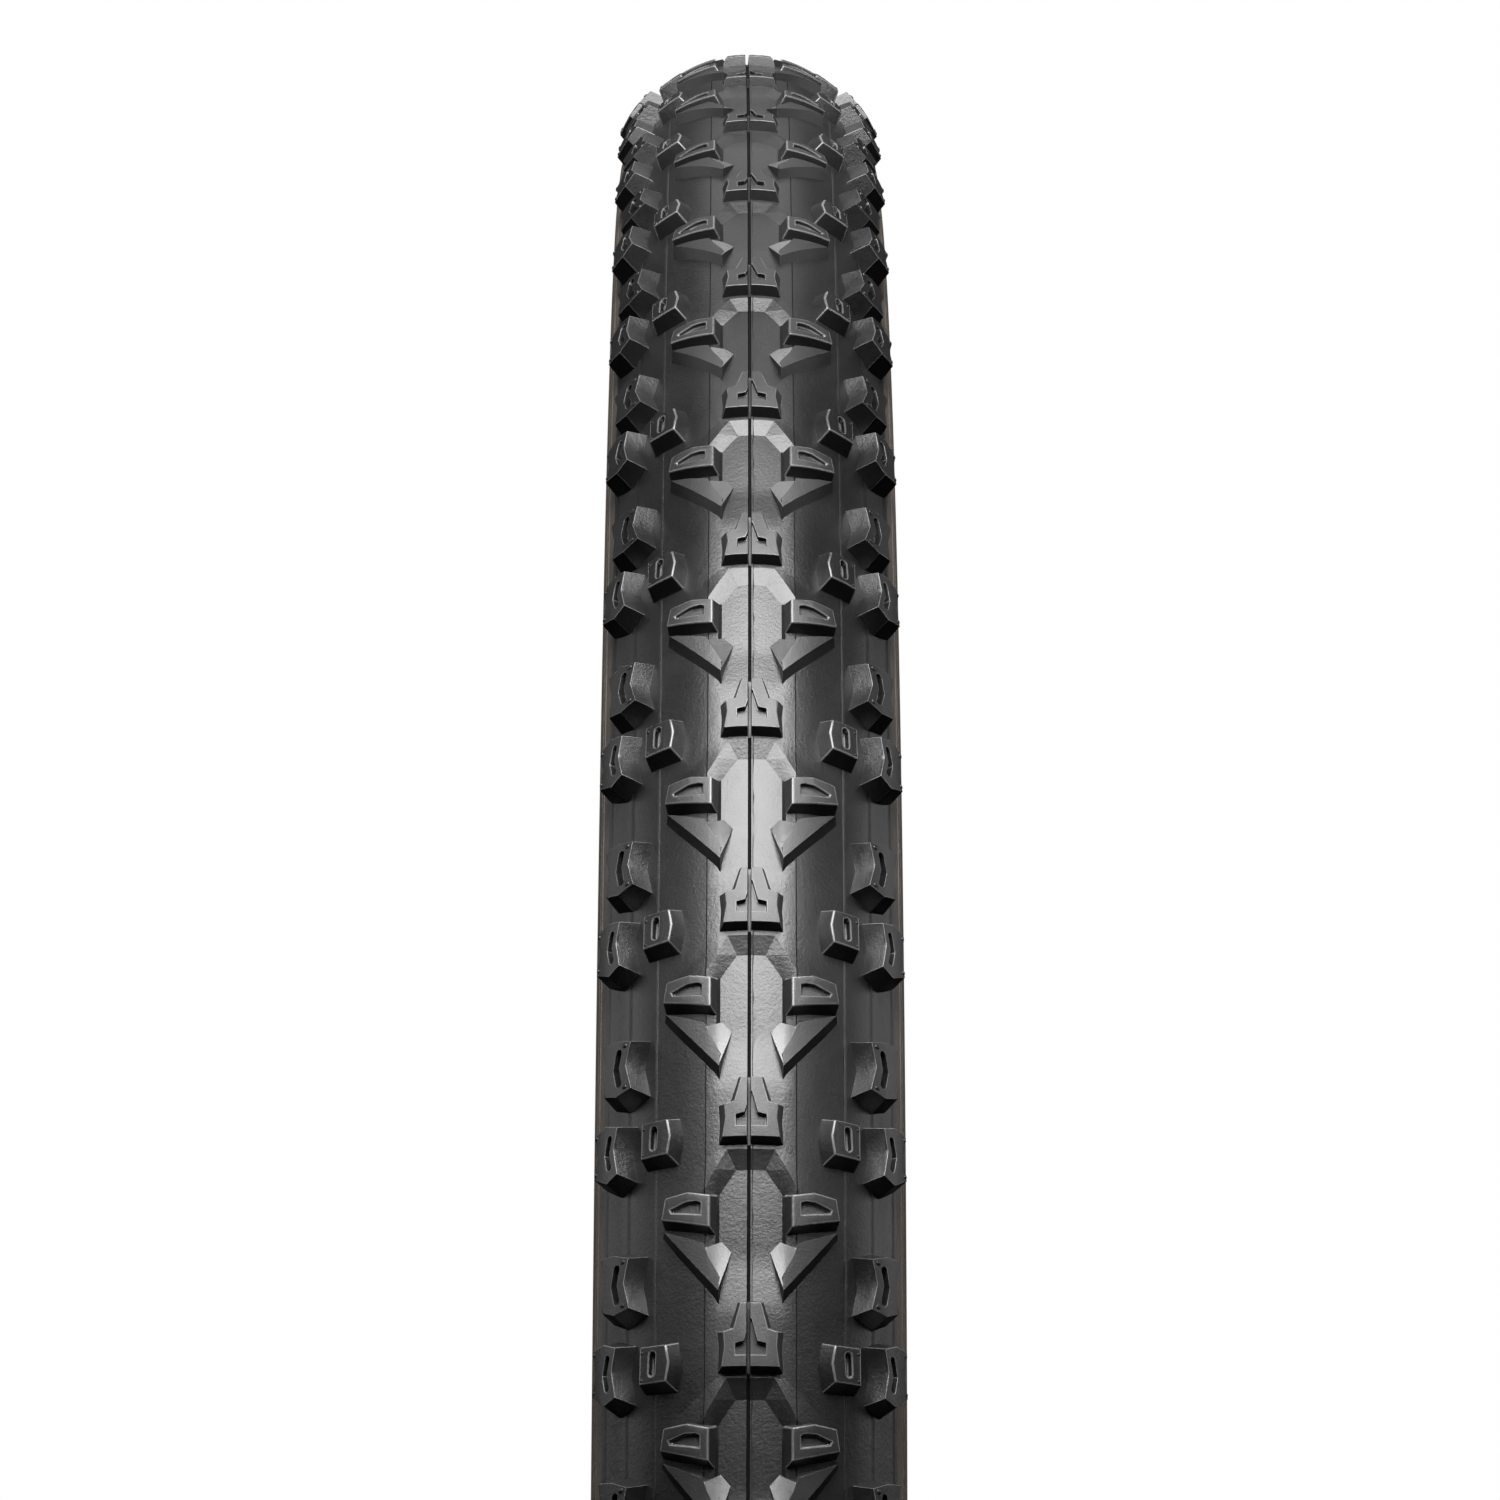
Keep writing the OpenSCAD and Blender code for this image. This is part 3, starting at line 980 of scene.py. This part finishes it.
def makeCamera():
    up, right, roll = (math.radians(view[k]) for k in ("up", "right", "roll"))
    look = Vector((-math.cos(up) * math.cos(right), math.sin(right),
                   math.sin(up) * math.cos(right))).normalized()
    level = look.cross(Vector((0, 0, 1))).normalized()
    above = level.cross(look)
    across = level * math.cos(roll) + above * math.sin(roll)
    above = above * math.cos(roll) - level * math.sin(roll)
    data = bpy.data.cameras.new("camera")
    data.sensor_width = view["sensor"]
    data.lens = view["lens"]
    data.clip_start = 0.05
    camera = bpy.data.objects.new("camera", data)
    bpy.context.collection.objects.link(camera)
    turn = Matrix((across, above, -look)).transposed().to_4x4()
    camera.matrix_world = Matrix.Translation(view["from"]) @ turn
    bpy.context.scene.camera = camera


def makeLights():
    for name, (at, towards, size, power) in softboxes.items():
        data = bpy.data.lights.new(name, 'AREA')
        data.shape = 'RECTANGLE'
        data.size, data.size_y = size
        data.energy = power
        lamp = bpy.data.objects.new(name, data)
        bpy.context.collection.objects.link(lamp)
        lamp.location = at
        aim = Vector(towards) - Vector(at)
        lamp.rotation_mode = 'QUATERNION'
        lamp.rotation_quaternion = aim.to_track_quat('-Z', 'Y')
        lamp.visible_camera = False


def makeWorld():
    world = bpy.data.worlds.new("studio")
    bpy.context.scene.world = world
    world.use_nodes = True
    nodes, links = world.node_tree.nodes, world.node_tree.links
    nodes.clear()
    output = nodes.new("ShaderNodeOutputWorld")
    seen = nodes.new("ShaderNodeBackground")
    seen.inputs["Color"].default_value = (1, 1, 1, 1)
    lighting = nodes.new("ShaderNodeBackground")
    where = nodes.new("ShaderNodeTexCoord").outputs["Generated"]
    split = nodes.new("ShaderNodeSeparateXYZ")
    links.new(where, split.inputs[0])
    height = mixValue(nodes, links, 'MULTIPLY_ADD', split.outputs["Z"], 0.5, 0.5)
    glow = [(0.45, grey(0.012)), (0.6, grey(0.03)), (1.0, grey(0.06))]
    links.new(ramp(nodes, links, height, glow), lighting.inputs["Color"])
    # the camera sees plain white, and the tire is lit by a dim grey sky
    path = nodes.new("ShaderNodeLightPath")
    mix = nodes.new("ShaderNodeMixShader")
    links.new(path.outputs["Is Camera Ray"], mix.inputs["Fac"])
    links.new(lighting.outputs[0], mix.inputs[1])
    links.new(seen.outputs[0], mix.inputs[2])
    links.new(mix.outputs[0], output.inputs["Surface"])
    bpy.context.scene.view_settings.view_transform = 'Standard'


def makeFloor():
    deselectAll()
    bpy.ops.mesh.primitive_plane_add(size=12, location=(0, 0, cadLow.z - 0.5 * mm))
    floor = bpy.context.object
    floor.name = "floor"
    made, nodes, links, shader = newMaterial("paleFloor")
    where = nodes.new("ShaderNodeTexCoord").outputs["Object"]
    clouds = noise(nodes, links, where, 3, 3)
    links.new(ramp(nodes, links, clouds, [(0.3, grey(0.62)), (0.7, grey(0.66))]),
              shader.inputs["Base Color"])
    shader.inputs["Roughness"].default_value = 0.7
    # further out the floor fades into the white background
    reach = nodes.new("ShaderNodeVectorMath")
    reach.operation = 'LENGTH'
    links.new(where, reach.inputs[0])
    fade = ramp(nodes, links, mixValue(nodes, links, 'MULTIPLY', reach.outputs["Value"], 0.4),
                [(0.2, grey(0.0)), (0.75, grey(1.0))])
    glow = nodes.new("ShaderNodeEmission")
    mix = nodes.new("ShaderNodeMixShader")
    output = next(n for n in nodes if n.type == 'OUTPUT_MATERIAL')
    links.new(fade, mix.inputs["Fac"])
    links.new(shader.outputs["BSDF"], mix.inputs[1])
    links.new(glow.outputs[0], mix.inputs[2])
    links.new(mix.outputs[0], output.inputs["Surface"])
    floor.data.materials.append(made)
    # the floor is seen but throws no light up at the tire
    floor.visible_glossy = False
    floor.visible_diffuse = False


makeCamera()
makeLights()
makeWorld()
makeFloor()
print("camera, lights and floor")
